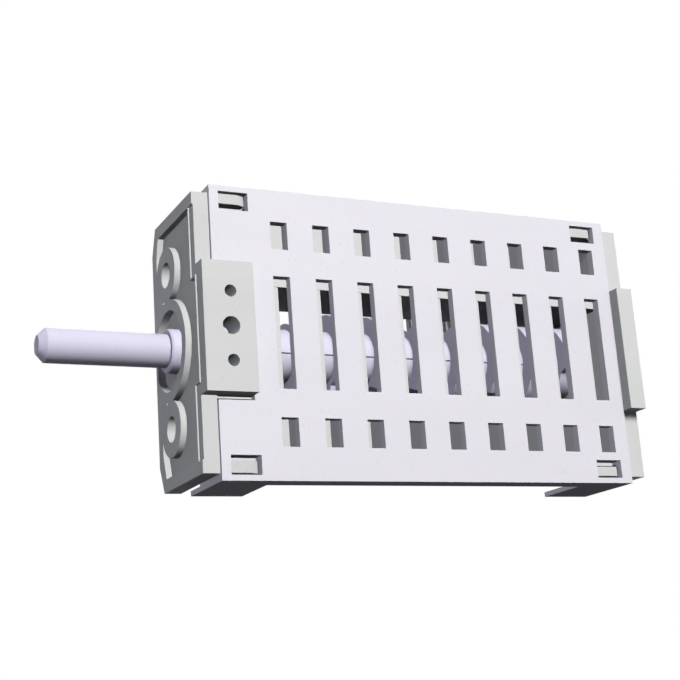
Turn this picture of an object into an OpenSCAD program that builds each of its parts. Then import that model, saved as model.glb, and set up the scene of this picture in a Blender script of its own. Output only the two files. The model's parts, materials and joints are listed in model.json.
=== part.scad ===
// Rotary cam oven switch. Millimetres.
// X runs to the slotted near face, Y runs back along the shaft axis, Z is up.
// The origin lies on the shaft axis in the front face of the front plate.

/* [Front plate] */
// thickness of the front plate
plate_t = 3.0; // [2:0.1:4]
// step from the long edges of the housing in to those of the end plates
plate_step = 1.3; // [1.3:0.1:2]
// reach of both end plates on the slotted side of the axis
plate_near = 15.0; // [13:0.1:17]
// reach of both end plates on the far side of the axis
plate_far = 7.1; // [6:0.1:9]
// far corner chamfer across the plate
corner_x = 2.1; // [1:0.1:3]
// far corner chamfer along the plate
corner_z = 4.8; // [3:0.1:6]
// width of the raised rim
rim_w = 2.3; // [1.5:0.1:3]
// depth of the recessed panel
panel_depth = 1.1; // [0.6:0.1:1.6]
// outer diameter of the ring about the shaft
ring_od = 18.4; // [16:0.1:20]
// inner diameter of the ring about the shaft
ring_id = 14.5; // [12:0.1:15.5]

/* [Mounting] */
// distance between the two mounting screw holes
screw_pitch = 28.0; // [26:0.1:30]
// diameter of a mounting screw hole
screw_d = 4.6; // [4.2:0.1:5]
// diameter of the boss about a screw hole
boss_d = 10.0; // [9:0.1:12]

/* [Side tabs] */
// reach of both side tabs from the axis
tab_near = 18.05; // [17:0.05:19]
// half height of the front tab
front_tab_half_h = 11.3; // [9:0.1:13]
// length of the front tab along the body
front_tab_l = 9.4; // [7:0.1:12]
// half height of the rear tab
rear_tab_half_h = 11.85; // [9:0.1:14]
// diameter of the middle hole in the front tab
tab_hole_d = 3.1; // [2.5:0.1:4]
// diameter of the two small holes in the front tab
tab_pin_d = 2.1; // [1.5:0.1:2.6]
// distance of each small hole from the middle hole
tab_pin_z = 6.0; // [5:0.1:7.5]

/* [Housing] */
// half height of the housing
body_half_h = 25.7; // [24:0.1:28]
// reach of the slotted wall from the axis
body_near = 15.65; // [14.5:0.05:17]
// length of the housing behind the last slot
body_tail = 2.99; // [2.9:0.01:3.5]
// wall thickness of the cover
wall_t = 1.65; // [1.3:0.05:2]
// wall thickness of the base
base_t = 1.2; // [1:0.1:1.6]
// length of each end block that forms the feet
foot_l = 9.4; // [8:0.1:11]
// reach of the far wall of the base
base_far = 13.2; // [12.8:0.1:14]
// half height of the switching chamber
base_half_h = 15.5; // [15:0.1:17]

/* [Levels] */
// number of switching levels
levels = 9; // [9:1:9]
// distance between two levels
pitch = 8.05; // [7.95:0.01:8.1]
// start of the first slot behind the front face
slot_y = 14.07; // [13.9:0.01:14.3]
// width of every slot
slot_w = 3.14; // [2.6:0.02:3.4]
// half height of a long slot
slot_half_h = 9.95; // [9:0.05:10.5]
// height of a short slot
small_slot_h = 5.0; // [4:0.1:6]
// distance of the short slots' middles from the long edges of the housing
small_slot_in = 8.3; // [8.2:0.1:8.8]

/* [Rotor] */
// diameter of the selector shaft
shaft_d = 6.0; // [5.5:0.1:6.2]
// height across the flat of the selector shaft
shaft_flat = 4.6; // [4.2:0.1:5]
// reach of the selector shaft in front of the plate
shaft_reach = 23.3; // [18:0.1:30]
// diameter of the selector shaft inside the camshaft
shaft_inner_d = 5.6; // [5.2:0.1:5.8]
// length of the flat from the tip
flat_l = 10.0; // [8:0.5:16]
// diameter of both journals
journal_d = 7.9; // [7.4:0.1:8.2]
// reach of the front journal in front of the plate
collar_reach = 0.5; // [0.3:0.1:1]
// diameter of the drum between the cams
drum_d = 9.9; // [9.4:0.1:10.4]
// diameter of the cams in their notches
notch_d = 12.1; // [11.5:0.1:12.6]
// diameter of the cams on their lobes
lobe_d = 16.2; // [15.6:0.1:16.4]
// thickness of one cam
cam_t = 3.5; // [3.2:0.1:3.8]
// start of the first cam behind the front face
cam_y = 13.85; // [13.75:0.05:13.95]

/* [Detent] */
// detent positions in one turn
positions = 12; // [12:1:12]
// diameter of the detent star
star_d = 16.0; // [15.2:0.1:16.4]
// width of the detent star
star_w = 4.4; // [4:0.1:5]
// middle of the detent star behind the front face
star_y = 8.6; // [8.5:0.05:8.7]
// radius of one notch in the star
star_notch_r = 2.0; // [1.7:0.05:2.2]
// diameter of a detent plunger
plunger_d = 4.0; // [3.6:0.1:4.4]
// gap from a plunger's nose to the star
nose_gap = 0.3; // [0.25:0.05:0.4]
// wire diameter of a detent spring
wire_d = 0.45; // [0.35:0.05:0.55]
// turns of a detent spring
spring_turns = 5; // [4:1:6]

/* [Contacts] */
// thickness of a terminal
terminal_t = 0.8; // [0.7:0.1:1]
// width of a terminal's tab
tab_w = 4.8; // [4.6:0.1:5]
// reach of the terminals' tabs on the far side of the axis
terminal_tip = 9.4; // [9:0.1:11]
// distance of the tabs from the long edges of the housing
terminal_in = 7.7; // [7.4:0.1:8.1]
// thickness of a contact blade
blade_t = 0.35; // [0.25:0.05:0.5]
// width of a contact blade
blade_w = 2.8; // [2.4:0.1:3]
// diameter of a contact button
button_d = 2.2; // [1.8:0.1:2.6]
// height of a contact button
button_h = 0.5; // [0.3:0.05:0.7]
// diameter of a blade rivet
rivet_d = 1.5; // [1.2:0.1:1.8]

/* [Fits] */
// radial play between the camshaft's journals and their bearings
journal_play = 0.06; // [0.03:0.01:0.1]
// radial play of a sliding plunger
slide_play = 0.08; // [0.04:0.01:0.1]
// radial play of a pressed shaft or pin
press_play = 0.02; // [0.01:0.01:0.04]
// gap between two pieces that are seated on each other
seat_gap = 0.05; // [0.03:0.01:0.1]

/* [Hidden] */
$fn = 64;
eps = 0.01;
plate_half_h = body_half_h - plate_step;
body_l = slot_y - plate_t + (levels - 1) * pitch + slot_w + body_tail;
body_y0 = plate_t;
body_y1 = plate_t + body_l;
rear_plate_t = 3.4;
end_y = body_y1 + rear_plate_t;
wall_x = body_near - wall_t;
foot_y1 = body_y0 + foot_l;
foot_y2 = body_y1 - foot_l;
web_t = 1.6;
web_upper_z = lobe_d / 2 + 0.5;
web_upper_top = web_upper_z + web_t;
web_lower_z = lobe_d / 2 + 1.9;
web_lower_bottom = web_lower_z + web_t;
carrier_x = wall_x - 0.1;
rib_x0 = lobe_d / 2 + 0.5;
rib_x1 = wall_x - 0.2;
rib_w = 2.0;
rib_lead = 0.45;
bulkhead_t = 1.9;
bulkhead_far_x = -5.6;
bulkhead_bore_d = journal_d + 0.9;
roof_t = 1.2;
roof_upper_z = body_half_h - 2.9;
roof_upper_top = roof_upper_z + roof_t;
roof_lower_z = body_half_h - 4.9;
roof_lower_bottom = roof_lower_z + roof_t;
wall_upper_x = 6.95;
wall_lower_x = 5.0;
divider_y = slot_y + 5.93;
divider_t = 0.8;
small_slot_z = body_half_h - small_slot_in;
terminal_z = body_half_h - terminal_in;
leg_x = 1.2;
chamber_z = base_half_h - base_t;
arm_z1 = chamber_z - 0.3;
arm_z0 = max(arm_z1 - 2.6, web_upper_top + 0.5);
pad_z = arm_z1 - 3.4;
rivet_z = arm_z1 - 2.1;
button_z = arm_z1 - 1.0;
far_window_h = 5.4;
far_window_z1 = arm_z1 - 0.6;
far_window_l = 4.2;
far_window_gap = 1.45;
tab_bevel = 1.2;
tab_lance_x = 3.2;
tab_lance_d = 1.8;
rivet_head = 0.45;
flank_out = 24.5;
flank_in = 9;
tip_chamfer = 1.3;
parting_z = -0.68;
parting_w = 0.24;
parting_in = 0.35;
star_notch_z = star_d / 2 + star_notch_r / 2;
plunger_r = plunger_d / 2;
flat_x = shaft_d / 2 - shaft_flat;
shaft_in = 15.9;
drive_y = 6.0;
collar_chamfer = 0.3;
shoulder_y = -collar_reach - seat_gap;
guide_r = plunger_r + slide_play;
guide_out = 3.0;
guide_top = roof_lower_z - 0.2;
guide_end = 1.4;
plunger_top = 15.2;
spring_z0 = 11.6;
spring_z1 = guide_top - guide_end;
spring_r = 1.1;
blade_x = -lobe_d / 2 - 1.35;
pad_upper_x = blade_x + 2.25;
pad_lower_x = blade_x + seat_gap;
foot_t = 0.9;
foot_wall_y = 1.7;
foot_wall_t = 1.5;
foot_wall_in = 4.65;
flange_in = 4.15;
front_window_y = 1.7;
rear_window_y = 2.2;
window_l = 5.4;
window_h = 3.3;
window_z1 = body_half_h - 1.0;
window_z0 = window_z1 - window_h;
near_catch_x = wall_x + 0.55;
latch_bay_x = wall_x - 1.8;
tab_root_x = 12.4;
tab_drop = 0.85;
tab_hole_y = 5.05;
tab_pin_y = 5.15;
rest_x = -2.0;
rest_z = 6.0;
base_tongue_w = 1.8;
lip_w = 0.35;
lip_step = 0.25;
lip_z = plate_half_h - rim_w;
panel_bay_z = 9.0;
panel_bay_x = plate_near - 0.1;
base_hook_x = -5.4;
base_window_y0 = 0.8;
base_window_l = 2.4;
lavender = [0.86, 0.85, 0.93];
grey = [0.66, 0.68, 0.68];
metal = [0.78, 0.78, 0.76];
brass = [0.82, 0.72, 0.5];

// cams: each entry lists the notches of one level as [start, end] angles,
// counted from the slotted side towards the top; the far side at 180 is a lobe
cam_notches = [
    [[22.5, 67.5], [247.5, 292.5]],
    [[22.5, 107], [202.5, 247.5]],
    [[112.5, 157.5], [292.5, 337.5]],
    [[112.5, 157.5], [247.5, 292.5]],
    [[57.5, 157.5], [247.5, 292.5]],
    [[57.5, 112.5], [202.5, 247.5]],
    [[112.5, 157.5], [247.5, 292.5]],
    [[112.5, 157.5], [202.5, 247.5]],
    [[112.5, 157.5], [247.5, 337.5]]
];

function level_y(i) = cam_y + (i - 1) * pitch;
function tab_mid(i) = level_y(i) + cam_t / 2;
function far_window_y(i) = level_y(i) + cam_t + far_window_gap;

module slab(x, y, z) {
    translate([x[0], y[0], z[0]])
        cube([x[1] - x[0], y[1] - y[0], z[1] - z[0]]);
}

module rod_y(d, y, x = 0, z = 0) {
    translate([x, y[0], z])
        rotate([-90, 0, 0])
            cylinder(d = d, h = y[1] - y[0]);
}

module rod_x(d, x, y, z) {
    translate([x[0], y, z])
        rotate([0, 90, 0])
            cylinder(d = d, h = x[1] - x[0]);
}

// a flat shape drawn in X and Z, given its thickness along Y
module sheet(y0, t) {
    translate([0, y0 + t, 0])
        rotate([90, 0, 0])
            linear_extrude(t)
                children();
}

module mirror_z() {
    children();
    mirror([0, 0, 1])
        children();
}

module plate_outline(inset = 0) {
    f = -plate_far + inset;
    n = plate_near - inset;
    h = plate_half_h - inset;
    k = inset * 0.4;
    polygon([
        [f, -h + corner_z - k],
        [f + corner_x - k, -h],
        [n, -h],
        [n, h],
        [f + corner_x - k, h],
        [f, h - corner_z + k]
    ]);
}

// hook of an end plate in a window that starts at w: catch towards the plate, then a ramp
module tongue(dir, x, catch_x, z, w, l) {
    y0 = dir > 0 ? plate_t - eps : body_y1 + eps;
    catch_y = w + 0.25;
    reach = w + l - 0.1;
    ramp_y = reach - 2 * (catch_x - x[1]);
    s = dir > 0 ? 1 : -1;
    translate([0, y0, z[0]])
        linear_extrude(z[1] - z[0])
            polygon([
                [x[0], 0],
                [x[1], 0],
                [x[1], s * catch_y],
                [catch_x, s * catch_y],
                [catch_x, s * ramp_y],
                [x[1], s * reach],
                [x[0], s * reach]
            ]);
}

// the near hooks fill the upper part of their windows; the gap below each is its play
module plate_tongues(dir) {
    w = dir > 0 ? front_window_y : rear_window_y;
    near_x = [wall_x - 1.6, wall_x - 0.1];
    tongue(dir, near_x, near_catch_x, [window_z0 + 1.45, window_z1 - 0.05], w, window_l);
    low_top = dir > 0 ? roof_lower_bottom + seat_gap : window_z0 + 1.0;
    tongue(dir, near_x, near_catch_x, [-window_z1 + 0.5, -low_top], w, window_l);
    base_x = [max(chamber_z - 1.6, web_lower_bottom + 0.2), chamber_z - 0.1];
    mirror_z()
        translate([base_hook_x, 0, 0])
            rotate([0, -90, 0])
                tongue(dir, base_x, chamber_z + 0.6, [-base_tongue_w, 0],
                       base_window_y0, base_window_l);
}

// the shallow step that leaves a lip along the near edge of the recessed panel
module near_step() {
    slab([panel_bay_x + lip_w, tab_near + 1], [-1, lip_step],
         [-panel_bay_z - lip_w, panel_bay_z + lip_w]);
    mirror_z()
        slab([plate_near - rim_w + lip_w, tab_near + 1], [-1, lip_step],
             [panel_bay_z + lip_w - eps, lip_z]);
}

module front_plate() {
    color(grey)
        difference() {
            union() {
                sheet(0, plate_t)
                    plate_outline();
                slab([plate_near - eps, tab_near], [0, plate_t],
                     [-front_tab_half_h, front_tab_half_h]);
                slab([wall_x + seat_gap, tab_near], [plate_t - eps, front_tab_l],
                     [-front_tab_half_h, front_tab_half_h]);
                slab([tab_root_x, wall_x + 1], [plate_t - eps, front_tab_l],
                     [0.3 - web_lower_z, web_upper_z - 0.3]);
                plate_tongues(1);
            }
            difference() {
                union() {
                    sheet(-eps, panel_depth + eps)
                        plate_outline(rim_w);
                    slab([plate_near - rim_w - 1, panel_bay_x], [-eps, panel_depth],
                         [-panel_bay_z, panel_bay_z]);
                }
                rod_y(ring_od, [-1, plate_t]);
                mirror_z() {
                    rod_y(boss_d, [-1, plate_t], 0, screw_pitch / 2);
                    slab([-plate_far, rest_x], [-1, plate_t], [rest_z, screw_pitch / 2]);
                }
            }
            near_step();
            intersection() {
                rod_y(ring_id, [-1, panel_depth + 0.3]);
                slab([1 - plate_far, ring_id], [-1, plate_t], [-ring_id, ring_id]);
            }
            rod_y(journal_d + 2 * journal_play, [-1, plate_t + 1]);
            mirror_z() {
                rod_y(screw_d, [-1, plate_t + 1], 0, screw_pitch / 2);
                rod_x(tab_pin_d, [tab_root_x - 1, tab_near + 1], tab_pin_y, tab_pin_z);
            }
            rod_x(tab_hole_d, [tab_root_x - 1, tab_near + 1], tab_hole_y, 0);
        }
}

module rear_plate() {
    color(grey)
        difference() {
            union() {
                sheet(body_y1, rear_plate_t)
                    plate_outline();
                slab([plate_near - eps, tab_near], [body_y1, end_y],
                     [-rear_tab_half_h, rear_tab_half_h]);
                plate_tongues(-1);
            }
            rod_y(journal_d + 2 * journal_play, [body_y1 - 1, body_y1 + 2.6]);
            mirror_z()
                rod_y(screw_d, [body_y1 - 1, end_y + 1], 0, screw_pitch / 2);
        }
}

module bulkhead(y, near_x) {
    difference() {
        union() {
            slab([bulkhead_far_x, near_x], y, [-web_lower_bottom, web_upper_top]);
            slab([0, carrier_x], y, [web_upper_z, web_upper_top]);
            slab([0, carrier_x], y, [-web_lower_bottom, -web_lower_z]);
        }
        rod_y(bulkhead_bore_d, [y[0] - 1, y[1] + 1]);
        slab([bulkhead_far_x - 1, 0], [y[0] - 1, y[1] + 1], [-bulkhead_bore_d / 2, bulkhead_bore_d / 2]);
    }
}

module detent_guide() {
    slab([-guide_out, guide_out], [star_y - guide_out, star_y + guide_out],
         [web_upper_z, guide_top]);
}

module guide_bore() {
    translate([0, star_y, 0])
        cylinder(r = guide_r, h = spring_z1);
}

module contact_carrier() {
    y0 = body_y0 + 0.1;
    y1 = body_y1 - 0.1;
    color(grey)
        difference() {
            union() {
                slab([0, carrier_x], [y0, y1], [web_upper_z, web_upper_top]);
                slab([0, carrier_x], [y0, y1], [-web_lower_bottom, -web_lower_z]);
                slab([wall_upper_x - 1.2, wall_upper_x], [y0, y1],
                     [web_upper_top - eps, roof_upper_z - 0.2]);
                slab([wall_lower_x - 1.2, wall_lower_x], [y0, y1],
                     [-roof_lower_z + 0.2, -web_lower_bottom + eps]);
                for (k = [0 : levels - 1]) {
                    slab([rib_x0, rib_x1],
                         [slot_y + k * pitch - rib_lead, slot_y + k * pitch - rib_lead + rib_w],
                         [-web_lower_z - eps, web_upper_z + eps]);
                    if (k < levels - 1) {
                        slab([wall_upper_x - eps, carrier_x],
                             [divider_y + k * pitch, divider_y + k * pitch + divider_t],
                             [web_upper_top - eps, roof_upper_z - 0.2]);
                        slab([wall_lower_x - eps, carrier_x],
                             [divider_y + k * pitch, divider_y + k * pitch + divider_t],
                             [-roof_lower_z + 0.2, -web_lower_bottom + eps]);
                    }
                }
                bulkhead([y0, y0 + bulkhead_t], tab_root_x - 0.1);
                bulkhead([y1 - bulkhead_t, y1], carrier_x);
                mirror_z()
                    detent_guide();
            }
            mirror_z()
                guide_bore();
        }
}

module small_slots(z) {
    for (k = [0 : levels - 1])
        slab([wall_x - 1, body_near + 1],
             [slot_y + k * pitch, slot_y + k * pitch + slot_w],
             [z - small_slot_h / 2, z + small_slot_h / 2]);
}

module latch_window(y) {
    slab([wall_x - 1, body_near + 1], y, [window_z0, window_z1]);
}

// the upper roof stops short of the near wall where an upper hook slides in
module latch_bay(y) {
    slab([latch_bay_x, wall_x], y, [roof_upper_z - 1, roof_upper_top + 0.4]);
}

// a foot: a thin plate on a wall set back from its end, at either end of the cover
module cover_foot(y, wall, roof) {
    slab([0.1, body_near], y, [body_half_h - foot_t, body_half_h]);
    slab([0.1, body_near - foot_wall_in], wall, [roof, body_half_h]);
}

// one long side of the cover: its roof, both feet and the thin flange between them
module cover_side(roof) {
    slab([0.1, wall_x + eps], [body_y0, body_y1], [roof, roof + roof_t]);
    slab([body_near - flange_in, wall_x + eps], [foot_y1 - eps, foot_y2 + eps],
         [body_half_h - foot_t, body_half_h]);
    wall_y0 = body_y0 + foot_wall_y;
    wall_y1 = body_y1 - foot_wall_y;
    cover_foot([body_y0, foot_y1], [wall_y0, wall_y0 + foot_wall_t], roof);
    cover_foot([foot_y2, body_y1], [wall_y1 - foot_wall_t, wall_y1], roof);
}

module cover_shell() {
    color(lavender)
        difference() {
            union() {
                slab([wall_x, body_near], [body_y0, body_y1], [-body_half_h, body_half_h]);
                cover_side(roof_upper_z);
                mirror([0, 0, 1])
                    cover_side(roof_lower_z);
            }
            for (k = [0 : levels - 1])
                slab([wall_x - 1, body_near + 1],
                     [slot_y + k * pitch, slot_y + k * pitch + slot_w],
                     [-slot_half_h, slot_half_h]);
            small_slots(small_slot_z);
            small_slots(-small_slot_z);
            mirror_z() {
                latch_window([body_y0 + front_window_y, body_y0 + front_window_y + window_l]);
                latch_window([body_y1 - rear_window_y - window_l, body_y1 - rear_window_y]);
            }
            latch_bay([body_y0 - 1, body_y0 + front_window_y + window_l + 0.2]);
            latch_bay([body_y1 - rear_window_y - window_l - 0.2, body_y1 + 1]);
            slab([wall_x - 1, body_near + 1], [body_y0 - 1, front_tab_l + 0.1],
                 [-front_tab_half_h - tab_drop, front_tab_half_h + 0.1]);
        }
}

module base_window(y) {
    slab([base_hook_x - 0.2, base_hook_x + base_tongue_w + 0.2], y,
         [chamber_z - 1, base_half_h + 1]);
}

module base_shell() {
    y0 = body_y0 + 0.05;
    y1 = body_y1 - 0.05;
    bump_y = star_y + guide_out + 0.1;
    tab_x = -base_t - 1;
    color(lavender)
        difference() {
            union() {
                slab([-base_far, 0], [y0, y1], [-base_half_h, base_half_h]);
                slab([-base_t, 0], [y0, y1], [-roof_lower_bottom, roof_upper_top]);
                slab([-guide_out - 1.6, 0], [y0, bump_y + 0.6], [-roof_lower_bottom, roof_upper_top]);
            }
            slab([-base_far + base_t, 1], [body_y0 + 1.6, body_y1 - 1.6],
                 [-chamber_z, chamber_z]);
            slab([bulkhead_far_x - 0.3, 1], [body_y0 - 1, body_y1 + 1],
                 [-chamber_z, chamber_z]);
            slab([-guide_out - 0.3, 1], [body_y0 + 1.2, bump_y], [-roof_lower_z, roof_upper_z]);
            mirror_z() {
                for (i = [1 : levels])
                    slab([tab_x, 1],
                         [tab_mid(i) - tab_w / 2 - 0.1, tab_mid(i) + tab_w / 2 + 0.1],
                         [terminal_z - terminal_t / 2 - 0.1, terminal_z + terminal_t / 2 + 0.1]);
                for (i = [1 : levels - 1])
                    slab([-base_far - 1, -base_far + base_t + 1],
                         [far_window_y(i), far_window_y(i) + far_window_l],
                         [far_window_z1 - far_window_h, far_window_z1]);
                base_window([body_y0 + base_window_y0,
                             body_y0 + base_window_y0 + base_window_l]);
                base_window([body_y1 - base_window_y0 - base_window_l,
                             body_y1 - base_window_y0]);
                rod_y(screw_d + 0.4, [body_y0 - 1, body_y0 + 1.3], 0, screw_pitch / 2);
            }
        }
}

// one run of notches: a wedge outside the notch diameter with sloping flanks
module notch_cut(a, y0) {
    span = a[1] - a[0];
    n = ceil(span / 30);
    r_in = notch_d / 2 - 0.8;
    r_out = lobe_d / 2 + 4;
    difference() {
        translate([0, y0 + cam_t + 0.5, 0])
            rotate([90, 0, 0])
                linear_extrude(cam_t + 1)
                    polygon(concat(
                        [for (j = [0 : n])
                            let (t = a[0] - flank_out + (span + 2 * flank_out) * j / n)
                                [r_out * cos(t), r_out * sin(t)]],
                        [for (j = [0 : n])
                            let (t = a[1] - flank_in - (span - 2 * flank_in) * j / n)
                                [r_in * cos(t), r_in * sin(t)]]
                    ));
        rod_y(notch_d, [y0 - 1, y0 + cam_t + 1]);
    }
}

module cam(i) {
    y0 = level_y(i);
    difference() {
        rod_y(lobe_d, [y0, y0 + cam_t]);
        for (a = cam_notches[i - 1])
            notch_cut(a, y0);
    }
}

module detent_star() {
    difference() {
        rod_y(star_d, [star_y - star_w / 2, star_y + star_w / 2]);
        for (k = [0 : positions - 1])
            rotate([0, k * 360 / positions, 0])
                rod_y(2 * star_notch_r, [star_y - star_w, star_y + star_w], 0, star_notch_z);
    }
}

// the cams' drum, with the parting line that the mould leaves on its near side
module drum() {
    run = [body_y0 + 2.2, body_y1 - 2.2];
    difference() {
        rod_y(drum_d, run);
        slab([drum_d / 2 - parting_in, drum_d], [run[0] - 1, run[1] + 1],
             [parting_z - parting_w / 2, parting_z + parting_w / 2]);
    }
}

module camshaft() {
    color(lavender)
        difference() {
            union() {
                rod_y(journal_d, [collar_chamfer - collar_reach, end_y - 1.0]);
                translate([0, -collar_reach, 0])
                    rotate([-90, 0, 0])
                        cylinder(d1 = journal_d - 2 * collar_chamfer, d2 = journal_d,
                                 h = collar_chamfer + eps);
                drum();
                detent_star();
                for (i = [1 : levels])
                    cam(i);
            }
            difference() {
                rod_y(shaft_inner_d + 2 * press_play, [-collar_reach - 1, shaft_in + 0.1]);
                slab([-5, flat_x - press_play], [drive_y, shaft_in + 1], [-5, 5]);
            }
        }
}

module selector_shaft() {
    tip = -shaft_reach;
    r = shaft_d / 2;
    ri = shaft_inner_d / 2;
    color(lavender)
        difference() {
            rotate([-90, 0, 0])
                rotate_extrude()
                    polygon([
                        [0, tip],
                        [r - tip_chamfer, tip],
                        [r, tip + tip_chamfer],
                        [r, shoulder_y],
                        [ri, shoulder_y],
                        [ri, shaft_in - 0.4],
                        [ri - 0.4, shaft_in],
                        [0, shaft_in]
                    ]);
            slab([-5, flat_x], [tip - 1, tip + flat_l], [-5, 5]);
            slab([-5, flat_x], [drive_y - 0.1, shaft_in + 1], [-5, 5]);
        }
}

module plunger_body() {
    nose_z = star_notch_z;
    tip_r = star_notch_r - nose_gap;
    translate([0, star_y, 0])
        difference() {
            rotate_extrude()
                polygon([
                    [0, nose_z - tip_r],
                    [tip_r * 0.42, nose_z - tip_r * 0.9],
                    [tip_r * 0.8, nose_z - tip_r * 0.6],
                    [tip_r, nose_z],
                    [plunger_r, nose_z + 0.8],
                    [plunger_r, plunger_top],
                    [0, plunger_top]
                ]);
            translate([0, 0, spring_z0 - 0.05])
                cylinder(r = spring_r + wire_d / 2 + 0.12, h = plunger_top);
        }
}

module detent_plunger_upper() {
    color(brass)
        plunger_body();
}

module detent_plunger_lower() {
    color(brass)
        mirror([0, 0, 1])
            plunger_body();
}

// a coil spring as a twisted round section, with a flat ring at each end
module coil() {
    h = spring_z1 - spring_z0 - wire_d;
    translate([0, star_y, spring_z0 + wire_d / 2])
        linear_extrude(height = h, twist = -360 * spring_turns, slices = spring_turns * 14, $fn = 12)
            translate([spring_r, 0])
                circle(d = wire_d * 1.25, $fn = 6);
    for (z = [spring_z0, spring_z1 - wire_d])
        translate([0, star_y, z])
            difference() {
                cylinder(r = spring_r + wire_d / 2, h = wire_d);
                translate([0, 0, -1])
                    cylinder(r = spring_r - wire_d / 2, h = 3);
            }
}

module detent_spring_upper() {
    color(metal)
        coil();
}

module detent_spring_lower() {
    color(metal)
        mirror([0, 0, 1])
            coil();
}

// a flat tab with a locating hole, a leg and the start of an arm, one strip
module terminal_tab(i, arm_z) {
    m = tab_mid(i);
    z0 = terminal_z - terminal_t / 2;
    difference() {
        union() {
            translate([0, 0, z0])
                linear_extrude(terminal_t)
                    polygon([
                        [-terminal_tip, m - tab_w / 2 + tab_bevel],
                        [-terminal_tip + tab_bevel, m - tab_w / 2],
                        [leg_x + terminal_t, m - tab_w / 2],
                        [leg_x + terminal_t, m + tab_w / 2],
                        [-terminal_tip + tab_bevel, m + tab_w / 2],
                        [-terminal_tip, m + tab_w / 2 - tab_bevel]
                    ]);
            slab([leg_x, leg_x + terminal_t], [m - blade_w / 2, m + blade_w / 2],
                 [arm_z, terminal_z]);
        }
        translate([-terminal_tip + tab_lance_x, m, z0 - 1])
            cylinder(d = tab_lance_d, h = terminal_t + 2);
    }
}

module level_upper_terminal(i) {
    m = tab_mid(i);
    color(metal) {
        terminal_tab(i, arm_z0);
        sheet(m - blade_w / 2, blade_w)
            polygon([
                [leg_x + terminal_t, arm_z0],
                [pad_upper_x, arm_z0],
                [pad_upper_x, arm_z1 + 0.2],
                [pad_upper_x + terminal_t, arm_z1 + 0.2],
                [pad_upper_x + terminal_t, arm_z0 + terminal_t],
                [leg_x + terminal_t, arm_z0 + terminal_t]
            ]);
        rod_x(button_d, [pad_upper_x - button_h, pad_upper_x + eps], m, button_z);
    }
}

module level_lower_terminal(i) {
    m = tab_mid(i);
    color(metal)
        difference() {
            union() {
                mirror([0, 0, 1])
                    terminal_tab(i, arm_z1 - terminal_t);
                sheet(m - blade_w / 2, blade_w)
                    polygon([
                        [leg_x + terminal_t, -arm_z1],
                        [pad_lower_x, -arm_z1],
                        [pad_lower_x, -pad_z],
                        [pad_lower_x + terminal_t, -pad_z],
                        [pad_lower_x + terminal_t, -arm_z1 + terminal_t],
                        [leg_x + terminal_t, -arm_z1 + terminal_t]
                    ]);
            }
            rod_x(rivet_d + 2 * press_play, [pad_lower_x - 1, pad_lower_x + terminal_t + 1],
                  m, -rivet_z);
        }
}

module level_contact_blade(i) {
    y0 = tab_mid(i) - blade_w / 2;
    f = blade_x;
    b = blade_x - blade_t;
    nose = -lobe_d / 2 - 0.3;
    color(brass)
        difference() {
            union() {
                sheet(y0, blade_w)
                    polygon([
                        [b, -arm_z1 - 0.1],
                        [f, -arm_z1 - 0.1],
                        [f, -2.6],
                        [nose, -0.9],
                        [nose, 0.9],
                        [f, 2.6],
                        [f, arm_z1],
                        [b, arm_z1],
                        [b, 2.3],
                        [nose - blade_t, 0.7],
                        [nose - blade_t, -0.7],
                        [b, -2.3]
                    ]);
                rod_x(button_d, [f - eps, f + button_h], y0 + blade_w / 2, button_z);
            }
            rod_x(rivet_d + 2 * press_play, [b - 1, f + 1], y0 + blade_w / 2, -rivet_z);
        }
}

module level_blade_rivet(i) {
    y = tab_mid(i);
    x0 = blade_x - blade_t - 0.5;
    x1 = pad_lower_x + terminal_t + 0.5;
    color(metal) {
        rod_x(rivet_d, [x0, x1], y, -rivet_z);
        rod_x(rivet_d + 2 * rivet_head, [x0, blade_x - blade_t - 0.02], y, -rivet_z);
        rod_x(rivet_d + 2 * rivet_head, [pad_lower_x + terminal_t + 0.02, x1], y, -rivet_z);
    }
}

module upper_terminal_1() level_upper_terminal(1);
module upper_terminal_2() level_upper_terminal(2);
module upper_terminal_3() level_upper_terminal(3);
module upper_terminal_4() level_upper_terminal(4);
module upper_terminal_5() level_upper_terminal(5);
module upper_terminal_6() level_upper_terminal(6);
module upper_terminal_7() level_upper_terminal(7);
module upper_terminal_8() level_upper_terminal(8);
module upper_terminal_9() level_upper_terminal(9);
module lower_terminal_1() level_lower_terminal(1);
module lower_terminal_2() level_lower_terminal(2);
module lower_terminal_3() level_lower_terminal(3);
module lower_terminal_4() level_lower_terminal(4);
module lower_terminal_5() level_lower_terminal(5);
module lower_terminal_6() level_lower_terminal(6);
module lower_terminal_7() level_lower_terminal(7);
module lower_terminal_8() level_lower_terminal(8);
module lower_terminal_9() level_lower_terminal(9);
module contact_blade_1() level_contact_blade(1);
module contact_blade_2() level_contact_blade(2);
module contact_blade_3() level_contact_blade(3);
module contact_blade_4() level_contact_blade(4);
module contact_blade_5() level_contact_blade(5);
module contact_blade_6() level_contact_blade(6);
module contact_blade_7() level_contact_blade(7);
module contact_blade_8() level_contact_blade(8);
module contact_blade_9() level_contact_blade(9);
module blade_rivet_1() level_blade_rivet(1);
module blade_rivet_2() level_blade_rivet(2);
module blade_rivet_3() level_blade_rivet(3);
module blade_rivet_4() level_blade_rivet(4);
module blade_rivet_5() level_blade_rivet(5);
module blade_rivet_6() level_blade_rivet(6);
module blade_rivet_7() level_blade_rivet(7);
module blade_rivet_8() level_blade_rivet(8);
module blade_rivet_9() level_blade_rivet(9);

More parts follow.
